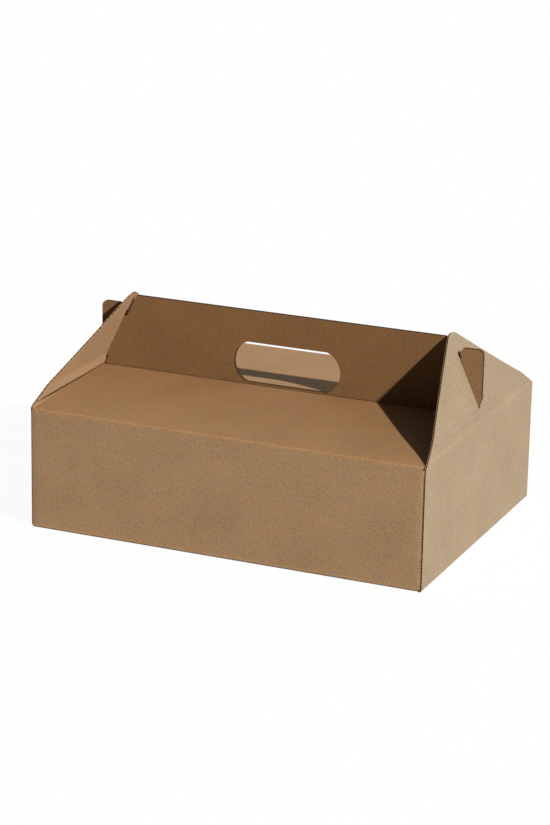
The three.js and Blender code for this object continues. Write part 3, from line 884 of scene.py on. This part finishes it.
class CARRYBOX_OT_ends(bpy.types.Operator):
    """Fold both end walls with their gable flaps, bending at the creases"""

    bl_idname = "carrybox.ends"
    bl_label = "End Walls and Gables"

    def execute(self, context):
        sizes = context.scene.carry_box_sizes
        middle, squares, sheet, marks = build_end(sizes)
        for side, body, turn in (("right", "gable_right", 1), ("left", "gable_left", -1)):
            end = board_mesh(
                f"end_board_{side}", middle * [turn, turn, 1], squares, sheet, marks, sizes.board
            )
            dress(end, context.scene.carry_box_finish)
            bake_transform(end)
            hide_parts(f"gable_flap_{side}")
        return {"FINISHED"}


class CARRYBOX_OT_stage(bpy.types.Operator):
    """Set up the floor, the light and the camera"""

    bl_idname = "carrybox.stage"
    bl_label = "Stage"

    def execute(self, context):
        scene = context.scene
        settings = scene.carry_box_stage
        scene.view_settings.view_transform = "Standard"
        floor_mesh = bpy.data.meshes.new("floor")
        reach = 4.0
        corners = [(-reach, -reach, 0), (reach, -reach, 0), (reach, reach, 0), (-reach, reach, 0)]
        floor_mesh.from_pydata(corners, [], [(0, 1, 2, 3)])
        floor = bpy.data.objects.new("floor", floor_mesh)
        scene.collection.objects.link(floor)
        floor.location.z = -0.0002
        floor.data.materials.append(floor_material(settings))
        sun = bpy.data.lights.new("key", "SUN")
        sun.energy = settings.key
        sun.color = (1.0, 0.97, 0.92)
        sun.angle = math.radians(1.6)
        lamp = bpy.data.objects.new("key", sun)
        lamp.rotation_mode = "QUATERNION"
        lamp.rotation_quaternion = Vector(KEY_TRAVEL).to_track_quat("-Z", "Y")
        scene.collection.objects.link(lamp)
        scene.world = soft_world(settings)
        camera = bpy.data.cameras.new("camera")
        camera.lens = CAMERA_LENS
        camera.shift_x = camera.shift_y = CAMERA_SHIFT
        camera.sensor_width = 36.0
        camera.clip_start, camera.clip_end = 0.05, 50.0
        view = bpy.data.objects.new("camera", camera)
        view.matrix_world = camera_matrix(CAMERA_PLACE, *CAMERA_TURNS)
        scene.collection.objects.link(view)
        scene.camera = view
        return {"FINISHED"}


def camera_matrix(place, yaw, pitch, roll):
    """A camera at a place, turned yaw to the left of +Y, pitched down and rolled, all in degrees."""
    yaw, pitch, roll = (math.radians(angle) for angle in (yaw, pitch, roll))
    ahead = Vector((-math.sin(yaw) * math.cos(pitch), math.cos(yaw) * math.cos(pitch), -math.sin(pitch)))
    right = Vector((math.cos(yaw), math.sin(yaw), 0))
    up = right.cross(ahead)
    right, up = right * math.cos(roll) + up * math.sin(roll), up * math.cos(roll) - right * math.sin(roll)
    turn = Matrix((right, up, -ahead)).transposed().to_4x4()
    return Matrix.Translation(place) @ turn


def seen_directly(tree):
    """1 for a ray from the camera, off a glossy surface or through glass, and 0 for any other."""
    path = node(tree, "ShaderNodeLightPath").outputs
    total = calc(tree, "ADD", path["Is Camera Ray"], path["Is Glossy Ray"])
    return calc(tree, "MINIMUM", calc(tree, "ADD", total, path["Is Transmission Ray"]), 1.0)


def floor_material(settings):
    """A matt grey floor that shows near white, and keeps a faint share of the box's shadow."""
    made = bpy.data.materials.new("floor")
    made.use_nodes = True
    tree = made.node_tree
    tree.nodes.clear()
    matt = node(tree, "ShaderNodeBsdfDiffuse", {"Color": (*settings.floor, 1)})
    white = node(tree, "ShaderNodeEmission", {"Color": (1, 1, 1, 1), "Strength": 1.06})
    factor = calc(tree, "MULTIPLY", seen_directly(tree), 0.9)
    mix = node(tree, "ShaderNodeMixShader", {0: factor, 1: matt.outputs[0], 2: white.outputs[0]})
    node(tree, "ShaderNodeOutputMaterial", {"Surface": mix.outputs[0]})
    return made


def soft_world(settings):
    """A world that shows white and lights the box softly from behind and the right, not from the front."""
    world = bpy.data.worlds.new("soft_world")
    world.use_nodes = True
    tree = world.node_tree
    tree.nodes.clear()
    ahead = node(tree, "ShaderNodeTexCoord").outputs["Generated"]
    side = node(tree, "ShaderNodeVectorMath", {0: ahead, 1: SOFT_SIDE}, operation="DOT_PRODUCT")
    soft = remap(tree, side.outputs["Value"], -0.05, 0.9, 0.0, 1.0)
    soft = calc(tree, "MULTIPLY", soft, settings.fill)
    glow = node(tree, "ShaderNodeBackground", {"Color": (0.86, 0.95, 1.0, 1), "Strength": soft})
    white = node(tree, "ShaderNodeBackground", {"Color": (1, 1, 1, 1), "Strength": 1.0})
    factor = seen_directly(tree)
    mix = node(tree, "ShaderNodeMixShader", {0: factor, 1: glow.outputs[0], 2: white.outputs[0]})
    node(tree, "ShaderNodeOutputWorld", {"Surface": mix.outputs[0]})
    return world


class CARRYBOX_PT_panel(bpy.types.Panel):
    """Sizes, finish and light of the carry box, and a button for each part of it"""

    bl_idname = "CARRYBOX_PT_panel"
    bl_label = "Carry Box"
    bl_space_type = "VIEW_3D"
    bl_region_type = "UI"
    bl_category = "Carry Box"

    def draw(self, context):
        layout = self.layout
        for group in ("carry_box_sizes", "carry_box_finish", "carry_box_stage"):
            settings = getattr(context.scene, group)
            column = layout.column(align=True)
            for key in settings.__annotations__:
                column.prop(settings, key)
        for operator in OPERATORS:
            layout.operator(operator.bl_idname)


OPERATORS = (CARRYBOX_OT_strip, CARRYBOX_OT_ends, CARRYBOX_OT_stage)
GROUPS = {
    "carry_box_sizes": CarryBoxSizes,
    "carry_box_finish": CarryBoxFinish,
    "carry_box_stage": CarryBoxStage,
}


def register():
    """Registers the classes and gives the scene its three groups of settings."""
    for group in GROUPS.values():
        bpy.utils.register_class(group)
    for operator in OPERATORS:
        bpy.utils.register_class(operator)
    bpy.utils.register_class(CARRYBOX_PT_panel)
    for name, group in GROUPS.items():
        setattr(bpy.types.Scene, name, bpy.props.PointerProperty(type=group))


def unregister():
    """Takes the settings and the classes away again."""
    for name in GROUPS:
        delattr(bpy.types.Scene, name)
    bpy.utils.unregister_class(CARRYBOX_PT_panel)
    for operator in reversed(OPERATORS):
        bpy.utils.unregister_class(operator)
    for group in reversed(list(GROUPS.values())):
        bpy.utils.unregister_class(group)


def main():
    """Builds the box and its stage."""
    register()
    bpy.ops.carrybox.strip()
    bpy.ops.carrybox.ends()
    bpy.ops.carrybox.stage()


if __name__ == "__main__":
    main()
